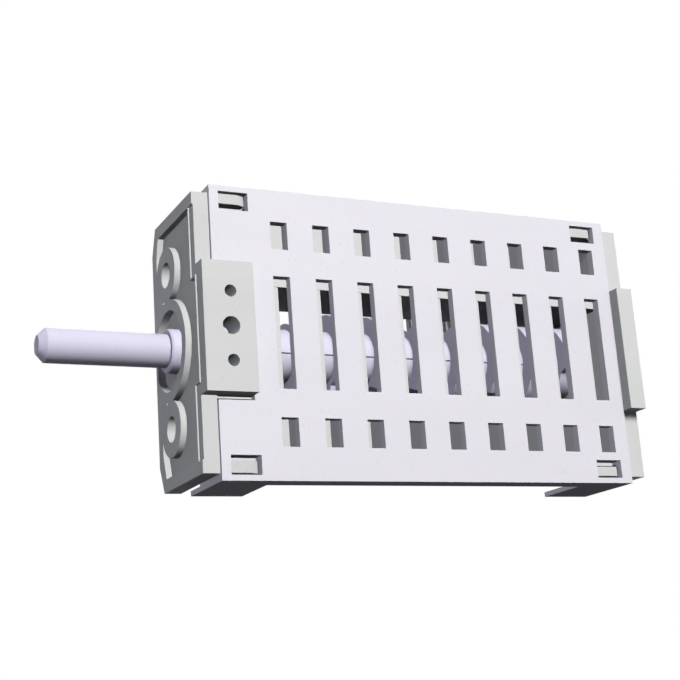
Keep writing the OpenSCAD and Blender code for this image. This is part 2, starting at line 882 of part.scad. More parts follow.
front_plate();
rear_plate();
contact_carrier();
cover_shell();
base_shell();
camshaft();
selector_shaft();
detent_plunger_upper();
detent_plunger_lower();
detent_spring_upper();
detent_spring_lower();
upper_terminal_1();
upper_terminal_2();
upper_terminal_3();
upper_terminal_4();
upper_terminal_5();
upper_terminal_6();
upper_terminal_7();
upper_terminal_8();
upper_terminal_9();
lower_terminal_1();
lower_terminal_2();
lower_terminal_3();
lower_terminal_4();
lower_terminal_5();
lower_terminal_6();
lower_terminal_7();
lower_terminal_8();
lower_terminal_9();
contact_blade_1();
contact_blade_2();
contact_blade_3();
contact_blade_4();
contact_blade_5();
contact_blade_6();
contact_blade_7();
contact_blade_8();
contact_blade_9();
blade_rivet_1();
blade_rivet_2();
blade_rivet_3();
blade_rivet_4();
blade_rivet_5();
blade_rivet_6();
blade_rivet_7();
blade_rivet_8();
blade_rivet_9();
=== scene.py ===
"""Oven switch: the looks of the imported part, its studio and its camera.

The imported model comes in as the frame, in metres: X runs to the slotted near face, Y back along
the shaft axis, Z up. The cover, the carrier, the rotor and the plungers keep their CAD meshes and get
a finish. The other pieces are modelled here over a copy of their node, with forms that are too fine
for the solids, and each stands for its node. Sizes in the classes of pieces are in millimetres, and
those of finishes, lamps and the studio are in metres.
"""

from __future__ import annotations

import json
import logging
import math
from collections.abc import Callable
from dataclasses import dataclass
from enum import Enum

import bmesh
import bpy
from mathutils import Euler, Matrix, Vector

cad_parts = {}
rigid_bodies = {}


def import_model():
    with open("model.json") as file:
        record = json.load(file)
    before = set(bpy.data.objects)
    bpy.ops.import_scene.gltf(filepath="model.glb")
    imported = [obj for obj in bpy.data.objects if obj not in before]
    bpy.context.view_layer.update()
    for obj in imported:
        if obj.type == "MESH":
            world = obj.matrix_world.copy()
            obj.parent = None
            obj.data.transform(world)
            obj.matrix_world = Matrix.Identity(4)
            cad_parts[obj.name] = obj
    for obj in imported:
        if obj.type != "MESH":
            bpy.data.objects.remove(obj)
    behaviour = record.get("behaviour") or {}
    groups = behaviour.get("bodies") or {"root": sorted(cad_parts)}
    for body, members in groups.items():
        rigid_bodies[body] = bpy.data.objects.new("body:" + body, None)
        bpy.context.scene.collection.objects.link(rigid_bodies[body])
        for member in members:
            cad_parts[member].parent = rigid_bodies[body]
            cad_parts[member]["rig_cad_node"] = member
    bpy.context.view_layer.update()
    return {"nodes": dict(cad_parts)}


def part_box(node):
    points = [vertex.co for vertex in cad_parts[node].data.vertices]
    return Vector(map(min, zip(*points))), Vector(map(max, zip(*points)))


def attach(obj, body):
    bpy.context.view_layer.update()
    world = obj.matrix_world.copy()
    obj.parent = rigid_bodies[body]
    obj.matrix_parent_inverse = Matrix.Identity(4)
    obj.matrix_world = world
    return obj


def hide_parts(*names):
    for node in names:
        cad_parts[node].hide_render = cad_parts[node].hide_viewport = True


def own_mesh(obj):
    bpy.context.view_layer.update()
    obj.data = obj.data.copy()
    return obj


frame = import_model()
LOG = logging.getLogger("oven_switch")
MM = 0.001
LEVELS = 9

# In copies of CAD nodes, points this close become one, and so do faces this flat.
MERGE = 0.02 * MM
FLAT_TURN = math.radians(0.3)
# Edges that turn less than this are shaded smoothly.
SMOOTH_TURN = math.radians(50.0)
# Least cosine at which a face counts as looking one way.
FACING = 0.9
# Rays for softened edges and for the dust and painted shade in corners.
EDGE_SAMPLES = 4
# Span of a noise's value over which it sways the roughness.
SWAY_FROM, SWAY_TO = 0.3, 0.7
# Nodes that the lamps for the slots pass without a shadow.
KEY_PASSES = ("cover_shell", "contact_carrier", "front_plate")
FRONT_PASSES = ("cover_shell", "base_shell", "contact_carrier", "front_plate", "camshaft")

Colour = tuple[float, float, float]
Triple = tuple[float, float, float]
Socket = bpy.types.NodeSocket
Sockets = dict[str, Socket]
Feed = Socket | float | Colour
FaceTest = Callable[[bmesh.types.BMFace], bool]

WHITE: Colour = (1.0, 1.0, 1.0)
EVEN: Triple = (1.0, 1.0, 1.0)
DRAWN: Triple = (1.0, 0.1, 1.0)


class Slot(Enum):
    """Material slots of the record, which the pieces of the scene pass on as they settle."""

    HOUSING = "housing"
    PLATE = "plate_grey"
    SPRING = "spring_steel"
    TERMINAL = "terminal_metal"
    BLADE = "blade_bronze"
    RIVET = "rivet_metal"


class Side(Enum):
    """The two sides of the shaft that a sprung plunger sits on."""

    UPPER = "upper"
    LOWER = "lower"


class Graph:
    """A short way to build one material's or one group's node tree."""

    def __init__(self, tree: bpy.types.NodeTree) -> None:
        """Keep the tree that the nodes go into.

        Args:
            tree: Node tree of a material, a world or a group.
        """
        self.tree = tree

    def node(self, kind: str, **values: object) -> bpy.types.Node:
        """Add a node and set its properties and inputs.

        Args:
            kind: Type name of the node, without its ShaderNode prefix.
            **values: Properties by name, or inputs by name with underscores for spaces.

        Returns:
            The new node.
        """
        made = self.tree.nodes.new("ShaderNode" + kind)
        for key, value in values.items():
            label = key.replace("_", " ")
            if label in made.inputs:
                made.inputs[label].default_value = value
            else:
                setattr(made, key, value)
        return made

    def link(self, source: Socket, target: Socket) -> None:
        """Join an output socket to an input socket."""
        self.tree.links.new(source, target)

    def feed(self, value: Feed, target: Socket) -> None:
        """Link a socket to an input, or set the input to a plain value.

        Args:
            value: Socket, number or colour.
            target: Input that takes it.
        """
        if isinstance(value, Socket):
            self.link(value, target)
        else:
            target.default_value = (*value, 1.0) if target.type == "RGBA" else value

    def place(self, effect: Effect, **values: Feed) -> Sockets:
        """Place a shared effect in a material, with this material's own values.

        Args:
            effect: Effect that is placed.
            **values: Sockets, numbers or colours by the name of the group's input.

        Returns:
            The group's outputs by name.
        """
        made = self.tree.nodes.new("ShaderNodeGroup")
        made.node_tree = effect.group()
        for name, value in values.items():
            self.feed(value, made.inputs[name])
        return dict(made.outputs.items())

    def coords(self, scale: Triple = EVEN) -> Socket:
        """Object coordinates through a Mapping node.

        Args:
            scale: Stretch of the texture along X, Y and Z.

        Returns:
            The mapped vector.
        """
        texture = self.node("TexCoord")
        mapping = self.node("Mapping")
        mapping.inputs["Scale"].default_value = scale
        self.link(texture.outputs["Object"], mapping.inputs["Vector"])
        return mapping.outputs["Vector"]

    def noise(self, vector: Socket, scale: Feed, detail: Feed) -> Socket:
        """Fractal noise between 0 and 1.

        Args:
            vector: Coordinates that the noise is read at.
            scale: Cells per metre, as a socket or number.
            detail: Octaves of the noise, as a socket or number.

        Returns:
            The noise value.
        """
        made = self.node("TexNoise", Roughness=0.6)
        for name, value in (("Vector", vector), ("Scale", scale), ("Detail", detail)):
            self.feed(value, made.inputs[name])
        return made.outputs["Fac"]

    def ramp(self, value: Socket, low: Feed, high: Feed,
             to_low: Feed = 0.0, to_high: Feed = 1.0) -> Socket:
        """Map a span of a value to another, with smooth ends.

        Args:
            value: Input value.
            low: Value that becomes to_low, as a socket or number, like the next three.
            high: Value that becomes to_high.
            to_low: Output at low and before it.
            to_high: Output at high and beyond it.

        Returns:
            The mapped value.
        """
        made = self.node("MapRange", interpolation_type="SMOOTHSTEP")
        ends = (("From Min", low), ("From Max", high), ("To Min", to_low), ("To Max", to_high))
        for name, number in (("Value", value), *ends):
            self.feed(number, made.inputs[name])
        return made.outputs["Result"]

    def math(self, operation: str, first: Feed, second: Feed) -> Socket:
        """Join two values by one operation.

        Args:
            operation: Name of the Math node's operation.
            first: Socket or number.
            second: Socket or number.

        Returns:
            The result.
        """
        made = self.node("Math", operation=operation)
        for place, value in enumerate((first, second)):
            self.feed(value, made.inputs[place])
        return made.outputs["Value"]

    def mix(self, factor: Socket, first: Feed, second: Feed) -> Socket:
        """Mix two colours.

        Args:
            factor: Share of the second colour.
            first: Colour or socket.
            second: Colour or socket.

        Returns:
            The mixed colour.
        """
        made = self.node("Mix", data_type="RGBA")
        self.link(factor, made.inputs["Factor"])
        for name, value in (("A", first), ("B", second)):
            self.feed(value, next(s for s in made.inputs if s.name == name and s.type == "RGBA"))
        return next(s for s in made.outputs if s.type == "RGBA")

    def bump(self, height: Socket, depth: Feed, normal: Socket) -> Socket:
        """Lay a height over a normal.

        Args:
            height: Height between 0 and 1.
            depth: Depth in metres of a height of 1, as a socket or number.
            normal: Normal that the bump is laid over.

        Returns:
            The bumped normal.
        """
        made = self.node("Bump", Strength=1.0)
        for name, value in (("Height", height), ("Distance", depth), ("Normal", normal)):
            self.feed(value, made.inputs[name])
        return made.outputs["Normal"]

    def blend(self, share: Socket, first: Socket, second: Socket) -> Socket:
        """Mix two shaders.

        Args:
            share: Share of the second shader.
            first: First shader.
            second: Second shader.

        Returns:
            The mixed shader.
        """
        mixed = self.node("MixShader")
        for place, socket in enumerate((share, first, second)):
            self.link(socket, mixed.inputs[place])
        return mixed.outputs["Shader"]

    def seen(self) -> Socket:
        """Tell what is looked at from what only lights.

        Returns:
            1 for what the camera sees, also in a mirror or through glass, and 0 for light.
        """
        path = self.node("LightPath")
        looked_at = self.math("MAXIMUM", path.outputs["Is Camera Ray"], path.outputs["Is Glossy Ray"])
        return self.math("MAXIMUM", looked_at, path.outputs["Is Transmission Ray"])


@dataclass(frozen=True)
class Effect:
    """A surface effect that more than one material uses: a node group, built once."""

    name: str
    inputs: tuple[tuple[str, str], ...]
    outputs: tuple[tuple[str, str], ...]
    fill: Callable[[Graph, Sockets], tuple[Socket, ...]]

    def group(self) -> bpy.types.NodeTree:
        """Build the group, or take the one that is already there.

        Returns:
            The group's node tree.
        """
        made = bpy.data.node_groups.get(self.name)
        if made is not None:
            return made
        made = bpy.data.node_groups.new(self.name, "ShaderNodeTree")
        for way, sockets in (("INPUT", self.inputs), ("OUTPUT", self.outputs)):
            for name, kind in sockets:
                made.interface.new_socket(name=name, in_out=way, socket_type="NodeSocket" + kind)
        given, result = made.nodes.new("NodeGroupInput"), made.nodes.new("NodeGroupOutput")
        results = self.fill(Graph(made), dict(given.outputs.items()))
        for (name, _), socket in zip(self.outputs, results):
            made.links.new(socket, result.inputs[name])
        return made


CLOUD_DETAIL = 4.0
SPECK_FROM, SPECK_TO, SPECK_SHARE = 0.74, 0.80, 0.4
# Dust and painted shade in corners: how far the occlusion looks in metres, and the occlusion at which the
# darkening is full and at which it ends.
DUST_SHADE_REACH, DUST_SHADE_DEEP, DUST_SHADE_OPEN = 0.0012, 0.15, 0.75


def fill_clouds(graph: Graph, given: Sockets) -> tuple[Socket, ...]:
    """Soft clouds of a second tone.

    Args:
        graph: Graph of the group.
        given: The group's inputs.

    Returns:
        The clouded colour and the clouds' height.
    """
    cloud = graph.noise(given["Vector"], given["Scale"], CLOUD_DETAIL)
    share = graph.ramp(cloud, given["Low"], given["High"], 0.0, given["Share"])
    return graph.mix(share, given["Light"], given["Dark"]), cloud


def fill_specks(graph: Graph, given: Sockets) -> tuple[Socket, ...]:
    """Small mineral specks, as in a filled thermoset.

    Args:
        graph: Graph of the group.
        given: The group's inputs.

    Returns:
        The speckled colour.
    """
    height = graph.noise(given["Vector"], given["Scale"], 0.0)
    speck = graph.ramp(height, SPECK_FROM, SPECK_TO, 0.0, SPECK_SHARE)
    return (graph.mix(speck, given["Colour"], given["Speck"]),)


def fill_dust_and_shade(graph: Graph, given: Sockets) -> tuple[Socket, ...]:
    """Dust and painted shade: the colour darkens where ambient occlusion finds the surface hemmed in.

    Args:
        graph: Graph of the group.
        given: The group's inputs.

    Returns:
        The colour with dust and painted shade in its corners.
    """
    cavity = graph.node("AmbientOcclusion", Distance=DUST_SHADE_REACH, samples=EDGE_SAMPLES)
    shade = graph.ramp(cavity.outputs["AO"], DUST_SHADE_DEEP, DUST_SHADE_OPEN, given["Share"], 0.0)
    return (graph.mix(shade, given["Colour"], given["Dust"]),)


def fill_grain(graph: Graph, given: Sockets) -> tuple[Socket, ...]:
    """A fine grain over softened edges.

    Args:
        graph: Graph of the group.
        given: The group's inputs.

    Returns:
        The normal and the grain's height.
    """
    soft = graph.node("Bevel", samples=EDGE_SAMPLES)
    graph.link(given["Edge"], soft.inputs["Radius"])
    height = graph.noise(given["Vector"], given["Scale"], given["Detail"])
    return graph.bump(height, given["Depth"], soft.outputs["Normal"]), height


CLOUDS = Effect(
    "soft_clouds",
    (("Vector", "Vector"), ("Scale", "Float"), ("Low", "Float"), ("High", "Float"),
     ("Share", "Float"), ("Light", "Color"), ("Dark", "Color")),
    (("Colour", "Color"), ("Cloud", "Float")), fill_clouds)
SPECKS = Effect(
    "mineral_specks",
    (("Vector", "Vector"), ("Scale", "Float"), ("Colour", "Color"), ("Speck", "Color")),
    (("Colour", "Color"),), fill_specks)
# Dust and painted shade in corners, darkened by ambient occlusion.
DUST_AND_SHADE = Effect(
    "corner_dust",
    (("Colour", "Color"), ("Dust", "Color"), ("Share", "Float")),
    (("Colour", "Color"),), fill_dust_and_shade)
GRAIN = Effect(
    "fine_grain",
    (("Vector", "Vector"), ("Scale", "Float"), ("Detail", "Float"), ("Depth", "Float"),
     ("Edge", "Float")),
    (("Normal", "Vector"), ("Height", "Float")), fill_grain)


def blank_material(name: str, colour: Colour) -> tuple[bpy.types.Material, Graph, bpy.types.Node]:
    """Start a material.

    Args:
        name: Name of the material.
        colour: Plain colour of its swatch.

    Returns:
        The material, its graph and its shader.
    """
    made = bpy.data.materials.new(name)
    made.use_nodes = True
    made.diffuse_color = (*colour, 1.0)
    return made, Graph(made.node_tree), made.node_tree.nodes["Principled BSDF"]


@dataclass(frozen=True)
class MouldedFinish:
    """Satin moulded plastic with a fine spark-eroded grain, mineral specks, softened edges, and dust with
    painted shade in its corners.
    """

    name: str
    light: Colour
    dark: Colour
    speck: Colour
    roughness: float = 0.58
    specular: float = 0.2
    cloud: float = 70.0
    band: tuple[float, float] = (0.32, 0.68)
    sway: tuple[float, float] = (-0.05, 0.06)
    wave_depth: float = 0.00002
    grain: float = 2600.0
    grain_detail: float = 2.0
    grain_depth: float = 0.000008
    speck_scale: float = 0.7
    edge: float = 0.0001
    # Share and tone of the dust and painted shade in corners.
    dust: float = 0.15
    dust_and_shade_tone: float = 0.72
    flow: Triple = (1.0, 0.25, 1.0)

    def material(self) -> bpy.types.Material:
        """Build the material.

        Returns:
            The finished material.
        """
        made, graph, shader = blank_material(self.name, self.light)
        shader.inputs["Specular IOR Level"].default_value = self.specular
        plain, (low, high) = graph.coords(), self.band
        clouds = graph.place(CLOUDS, Vector=graph.coords(self.flow), Scale=self.cloud, Low=low,
                             High=high, Share=1.0, Light=self.light, Dark=self.dark)
        specks = graph.place(SPECKS, Vector=plain, Scale=self.grain * self.speck_scale,
                             Colour=clouds["Colour"], Speck=self.speck)
        # Dust and painted shade: the colour is darker where the surface is hemmed in.
        dust = graph.place(DUST_AND_SHADE, Colour=specks["Colour"], Share=self.dust,
                           Dust=tuple(self.dust_and_shade_tone * tone for tone in self.dark))
        rough = graph.ramp(clouds["Cloud"], SWAY_FROM, SWAY_TO,
                           *(self.roughness + step for step in self.sway))
        grain = graph.place(GRAIN, Vector=plain, Scale=self.grain, Detail=self.grain_detail,
                            Depth=self.grain_depth, Edge=self.edge)
        waves = graph.bump(clouds["Cloud"], self.wave_depth, grain["Normal"])
        graph.link(dust["Colour"], shader.inputs["Base Color"])
        graph.link(rough, shader.inputs["Roughness"])
        graph.link(waves, shader.inputs["Normal"])
        return made


@dataclass(frozen=True)
class MetalFinish:
    """Rolled, drawn or plated metal with fine lines along one direction and a thin tarnish."""

    name: str
    light: Colour
    dark: Colour
    roughness: float = 0.34
    lines: Triple = (1.0, 14.0, 14.0)
    line_sway: tuple[float, float] = (-0.06, 0.07)
    cloud: float = 260.0
    band: tuple[float, float] = (0.35, 0.7)
    cloud_sway: float = 0.1
    grain: float = 700.0
    grain_detail: float = 3.0
    grain_depth: float = 0.000006
    edge: float = 0.00008
    tarnish: float = 0.5

    def material(self) -> bpy.types.Material:
        """Build the material.

        Returns:
            The finished material.
        """
        made, graph, shader = blank_material(self.name, self.light)
        shader.inputs["Metallic"].default_value = 1.0
        low, high = self.band
        clouds = graph.place(CLOUDS, Vector=graph.coords(), Scale=self.cloud, Low=low, High=high,
                             Share=self.tarnish, Light=self.light, Dark=self.dark)
        lines = graph.place(GRAIN, Vector=graph.coords(self.lines), Scale=self.grain,
                            Detail=self.grain_detail, Depth=self.grain_depth, Edge=self.edge)
        along = graph.ramp(lines["Height"], SWAY_FROM, SWAY_TO, *self.line_sway)
        across = graph.ramp(clouds["Cloud"], SWAY_FROM, SWAY_TO, self.roughness,
                            self.roughness + self.cloud_sway)
        graph.link(clouds["Colour"], shader.inputs["Base Color"])
        graph.link(graph.math("ADD", along, across), shader.inputs["Roughness"])
        graph.link(lines["Normal"], shader.inputs["Normal"])
        return made


STAND_INS: dict[str, bpy.types.Object] = {}


class Workpiece:
    """One piece on the bench, and the operators that shape it."""

    def __init__(self, made: bpy.types.Object, name: str) -> None:
        """Take the object on and name it.

        Args:
            made: Object that is shaped.
            name: Name of the piece.
        """
        made.name = name
        made.data.name = name
        self.made = made

    @classmethod
    def of_node(cls, node: str, name: str) -> Workpiece:
        """Start from a copy of a CAD node, with its loose triangles merged into whole faces.

        Args:
            node: Name of the CAD node.
            name: Name of the piece.

        Returns:
            The piece, which still rides where the node does.
        """
        cls.lay_out(frame["nodes"][node])
        bpy.ops.object.duplicate(linked=False)
        del bpy.context.object["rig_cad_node"]
        bpy.ops.mesh.customdata_custom_splitnormals_clear()
        piece = cls(bpy.context.object, name)
        piece.pick_all()
        bpy.ops.mesh.remove_doubles(threshold=MERGE)
        bpy.ops.mesh.dissolve_limited(angle_limit=FLAT_TURN)
        piece.close()
        return piece

    @classmethod
    def of_parts(cls, parts: list[Workpiece], name: str) -> Workpiece:
        """Join several pieces into one.

        Args:
            parts: Pieces that are joined.
            name: Name of the whole.

        Returns:
            The whole.
        """
        cls.lay_out(*(part.made for part in parts))
        bpy.ops.object.join()
        return cls(bpy.context.object, name)

    @staticmethod
    def clear_bench() -> None:
        """Leave edit mode and deselect everything."""
        if bpy.context.object is not None and bpy.context.object.mode != "OBJECT":
            bpy.ops.object.mode_set(mode="OBJECT")
        bpy.ops.object.select_all(action="DESELECT")

    @classmethod
    def lay_out(cls, *objects: bpy.types.Object) -> None:
        """Select these objects and no others, with the first one active.

        Args:
            *objects: Objects that are worked on next.
        """
        cls.clear_bench()
        for made in objects:
            made.select_set(True)
        bpy.context.view_layer.objects.active = objects[0]

    def modify(self, kind: str, **settings: object) -> None:
        """Put a modifier on the piece and apply it.

        Args:
            kind: Type of the modifier.
            **settings: Its settings by name.
        """
        self.lay_out(self.made)
        bpy.ops.object.modifier_add(type=kind)
        modifier = self.made.modifiers[-1]
        for name, value in settings.items():
            setattr(modifier, name, value)
        bpy.ops.object.modifier_apply(modifier=modifier.name)

    def open(self) -> None:
        """Put the piece alone on the bench, in edit mode with nothing selected."""
        if self.made.mode != "EDIT":
            self.lay_out(self.made)
            bpy.ops.object.mode_set(mode="EDIT")
            bpy.ops.mesh.select_mode(type="FACE")
        bpy.ops.mesh.select_all(action="DESELECT")

    def close(self) -> None:
        """Go back to object mode with the piece still active."""
        bpy.ops.object.mode_set(mode="OBJECT")

    def pick(self, test: FaceTest) -> None:
        """Select faces in edit mode.

        Args:
            test: Says whether a face is picked.
        """
        self.open()
        grid = bmesh.from_edit_mesh(self.made.data)
        for face in grid.faces:
            face.select = test(face)
        grid.select_flush(True)
        bmesh.update_edit_mesh(self.made.data)

    def pick_all(self) -> None:
        """Select every face in edit mode."""
        self.open()
        bpy.ops.mesh.select_all(action="SELECT")

    def dome(self, steps: tuple[tuple[float, float], ...]) -> None:
        """Raise or sink the picked face in rings.

        Args:
            steps: Width and rise of each ring, in millimetres; a negative rise sinks it.
        """
        for width, rise in steps:
            bpy.ops.mesh.inset(thickness=width * MM, depth=rise * MM, use_even_offset=True)

    def cut(self, cutters: list[Workpiece]) -> None:
        """Take the shapes of cutters out of the piece.

        Args:
            cutters: Shapes that are cut away and then thrown out.
        """
        tool = self.of_parts(cutters, "cutters").made
        self.modify("BOOLEAN", operation="DIFFERENCE", solver="EXACT", object=tool)
        bpy.data.objects.remove(tool)

    def soften(self, width: float, segments: int = 2, angle: float = 35.0) -> None:
        """Round the sharp edges and shade the piece smoothly up to them.

        Args:
            width: Width of the rounding, in millimetres.
            segments: Faces across the rounding.
            angle: Least turn of an edge that is rounded, in degrees.
        """
        self.modify("BEVEL", width=width * MM, segments=segments, limit_method="ANGLE",
                    angle_limit=math.radians(angle), use_clamp_overlap=True)
        self.shade()

    def shade(self) -> None:
        """Shade the piece smoothly up to its edges, with its large flats kept flat."""
        self.lay_out(self.made)
        bpy.ops.object.shade_smooth_by_angle(angle=SMOOTH_TURN, keep_sharp_edges=False)
        self.modify("WEIGHTED_NORMAL", mode="FACE_AREA", weight=50, keep_sharp=True)

    def shifted(self, name: str, step: Vector) -> Workpiece:
        """Copy the piece to another place, with a mesh of its own.

        Args:
            name: Name of the copy.
            step: Way from this piece to the copy, in metres.

        Returns:
            The copy.
        """
        self.lay_out(self.made)
        bpy.ops.object.duplicate(linked=False)
        copy = Workpiece(bpy.context.object, name)
        copy.pick_all()
        bpy.ops.transform.translate(value=step)
        copy.close()
        return copy

    def paint(self, first: bpy.types.Material, second: bpy.types.Material | None = None,
              test: FaceTest | None = None) -> None:
        """Give the piece its finish, or two finishes.

        Args:
            first: Finish of the piece.
            second: Finish of the faces that the test picks.
            test: Says whether a face takes the second finish.
        """
        self.made.data.materials.clear()
        self.made.data.materials.append(first)
        self.pick_all()
        self.made.active_material_index = 0
        bpy.ops.object.material_slot_assign()
        if second is not None:
            self.made.data.materials.append(second)
            self.pick(test)
            self.made.active_material_index = 1
            bpy.ops.object.material_slot_assign()
        self.close()

    def settle(self, node: str, slot: Slot) -> None:
        """Let the piece stand for its CAD node, on the housing's body.

        Args:
            node: CAD node that it replaces.
            slot: Not used.
        """
        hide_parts(node)
        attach(self.made, "housing")
        STAND_INS[node] = self.made


def dress(node: str, material: bpy.types.Material) -> None:
    """Give a CAD node its finish.

    Args:
        node: Name of the node.
        material: Finish for all its faces.
    """
    mesh = frame["nodes"][node].data
    if not mesh.materials:
        mesh.materials.append(material)
    for place in range(len(mesh.materials)):
        mesh.materials[place] = material


@dataclass(frozen=True)
class MouldMark:
    """A shallow round mark that an ejector pin or the gate leaves in a moulded face."""

    centre: Triple
    turn: Triple
    diameter: float
    depth: float
    nub: float = 0.0
    nub_wall: float = 0.02
    nub_rise: float = 0.7
    sides: int = 32

    def cutter(self) -> Workpiece:
        """Model the shape that is cut out of the face.

        Returns:
            The cutter, a round with a hollow end where the gate's nub stays.
        """
        Workpiece.clear_bench()
        bpy.ops.mesh.primitive_cylinder_add(
            vertices=self.sides, radius=self.diameter / 2 * MM, depth=2 * self.depth * MM,
            location=Vector(self.centre) * MM, rotation=self.turn)
        bpy.ops.object.transform_apply(location=True, rotation=True, scale=True)
        tool = Workpiece(bpy.context.object, "mark_cutter")
        if self.nub:
            inward = Vector((0.0, 0.0, 1.0))
            inward.rotate(Euler(self.turn))
            tool.pick(lambda face: face.normal.dot(inward) > FACING)
            tool.dome(((self.diameter / 2 - self.nub, 0.0),
                       (self.nub_wall, -self.nub_rise * self.depth)))
            tool.close()
        return tool


@dataclass
class Housing:
    """The slotted cover, the far shell and the frame between them."""

    plastic: MouldedFinish
    frame_plastic: MouldedFinish
    mark_d: float = 2.4
    mark_depth: float = 0.15
    mark_rows: tuple[float, ...] = (12.0, 27.5, 59.5, 75.0)
    mark_z: float = 4.6
    gate_d: float = 4.0
    gate_y: float = 43.8
    gate_depth: float = 0.3
    gate_nub: float = 0.6

    def build(self) -> None:
        """Dress the cover and the carrier, and model the far shell's moulded face."""
        skin = self.plastic.material()
        dress("cover_shell", skin)
        dress("contact_carrier", self.frame_plastic.material())
        self.build_far_shell(skin)

    def build_far_shell(self, skin: bpy.types.Material) -> None:
        """Mark the far shell's plain wall as its mould does.

        Args:
            skin: Finish of the shell.
        """
        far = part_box("base_shell")[0].x / MM
        inward = (0.0, math.pi / 2, 0.0)
        marks = [MouldMark((far, y, z), inward, self.mark_d, self.mark_depth)
                 for y in self.mark_rows for z in (-self.mark_z, self.mark_z)]
        marks.append(MouldMark((far, self.gate_y, 0.0), inward, self.gate_d, self.gate_depth,
                               self.gate_nub))
        shell = Workpiece.of_node("base_shell", "far_shell")
        shell.cut([mark.cutter() for mark in marks])
        shell.shade()
        shell.paint(skin)
        shell.settle("base_shell", Slot.HOUSING)


@dataclass
class EndPlates:
    """The two grey end plates."""

    plastic: MouldedFinish
    mark_d: float = 3.0
    mark_depth: float = 0.15
    mark_places: tuple[tuple[float, float], ...] = (
        (-3.6, 19.4), (9.6, 20.2), (-3.6, -19.4), (9.6, -20.2), (14.2, 0.0))
    gate_d: float = 4.4
    gate_depth: float = 0.3
    gate_nub: float = 0.7
    rounding: float = 0.1

    def build(self) -> None:
        """Shade the front plate and model the back of the rear one."""
        skin = self.plastic.material()
        plate = Workpiece.of_node("front_plate", "panel_plate")
        plate.shade()
        plate.paint(skin)
        plate.settle("front_plate", Slot.PLATE)
        self.build_rear_plate(skin)

    def build_rear_plate(self, skin: bpy.types.Material) -> None:
        """Mark the rear plate's back as its mould does, and round its edges.

        Args:
            skin: Finish of the plate.
        """
        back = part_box("rear_plate")[1].y / MM
        inward = (math.pi / 2, 0.0, 0.0)
        marks = [MouldMark((x, back, z), inward, self.mark_d, self.mark_depth)
                 for x, z in self.mark_places]
        marks.append(MouldMark((0.0, back, 0.0), inward, self.gate_d, self.gate_depth,
                               self.gate_nub))
        plate = Workpiece.of_node("rear_plate", "closing_plate")
        plate.soften(self.rounding)
        plate.cut([mark.cutter() for mark in marks])
        plate.shade()
        plate.paint(skin)
        plate.settle("rear_plate", Slot.PLATE)


@dataclass
class Rotor:
    """The camshaft and the selector shaft."""

    plastic: MouldedFinish
    shaft_plastic: MouldedFinish

    def build(self) -> None:
        """Dress both pieces."""
        dress("camshaft", self.plastic.material())
        dress("selector_shaft", self.shaft_plastic.material())


@dataclass
class Detent:
    """Two sprung plungers, each with a coil spring."""

    plastic: MouldedFinish
    wire: MetalFinish
    wire_d: float = 0.45
    coil_r: float = 1.1
    free_turns: int = 5
    closed_pitch: float = 0.46
    weld: float = 0.01
    wire_sides: int = 10
    turn_steps: int = 28
    travel: float = 1.2

    def build(self) -> None:
        """Dress the plungers and wind their springs."""
        body, steel = self.plastic.material(), self.wire.material()
        for side in Side:
            dress("detent_plunger_" + side.value, body)
            self.build_spring(side, steel)

    def build_spring(self, side: Side, steel: bpy.types.Material) -> None:
        """Wind one spring, with a closed turn at each end.

        Args:
            side: Side of the shaft that the spring sits on.
            steel: Finish of the wire.
        """
        node = "detent_spring_" + side.value
        low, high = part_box(node)
        middle, length = (low.y + high.y) / 2, (high.z - low.z) / MM
        pitch = (length - self.wire_d - 2 * self.closed_pitch) / self.free_turns
        place = low.z / MM + self.wire_d / 2
        turns = []
        for rise, count in ((self.closed_pitch, 1), (pitch, self.free_turns), (self.closed_pitch, 1)):
            turns.append(self.wind(place, rise, count))
            place += rise * count
        coil = Workpiece.of_parts(turns, "coil_spring_" + side.value)
        coil.pick_all()
        bpy.ops.mesh.remove_doubles(threshold=self.weld * MM)
        coil.pick_all()
        bpy.ops.mesh.fill_holes(sides=self.wire_sides)
        coil.pick_all()
        bpy.ops.mesh.normals_make_consistent(inside=False)
        bpy.ops.transform.translate(value=(0.0, middle, 0.0))
        coil.close()
        bpy.ops.object.shade_smooth_by_angle(angle=SMOOTH_TURN)
        coil.paint(steel)
        coil.settle(node, Slot.SPRING)
        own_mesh(coil.made)

    def wind(self, place: float, rise: float, count: int) -> Workpiece:
        """Wind turns of wire about the Z axis.

        Args:
            place: Height of the wire's middle at the start, in millimetres.
            rise: Rise of one turn, in millimetres.
            count: Number of turns.

        Returns:
            The open tube.
        """
        Workpiece.clear_bench()
        bpy.ops.mesh.primitive_circle_add(
            vertices=self.wire_sides, radius=self.wire_d / 2 * MM, fill_type="NOTHING",
            location=(self.coil_r * MM, 0.0, place * MM), rotation=(math.pi / 2, 0.0, 0.0))
        bpy.ops.object.transform_apply(location=True, rotation=True, scale=True)
        tube = Workpiece(bpy.context.object, "coil_turns")
        tube.modify("SCREW", axis="Z", angle=2 * math.pi, screw_offset=rise * MM, iterations=count,
                    steps=self.turn_steps, render_steps=self.turn_steps)
        return tube


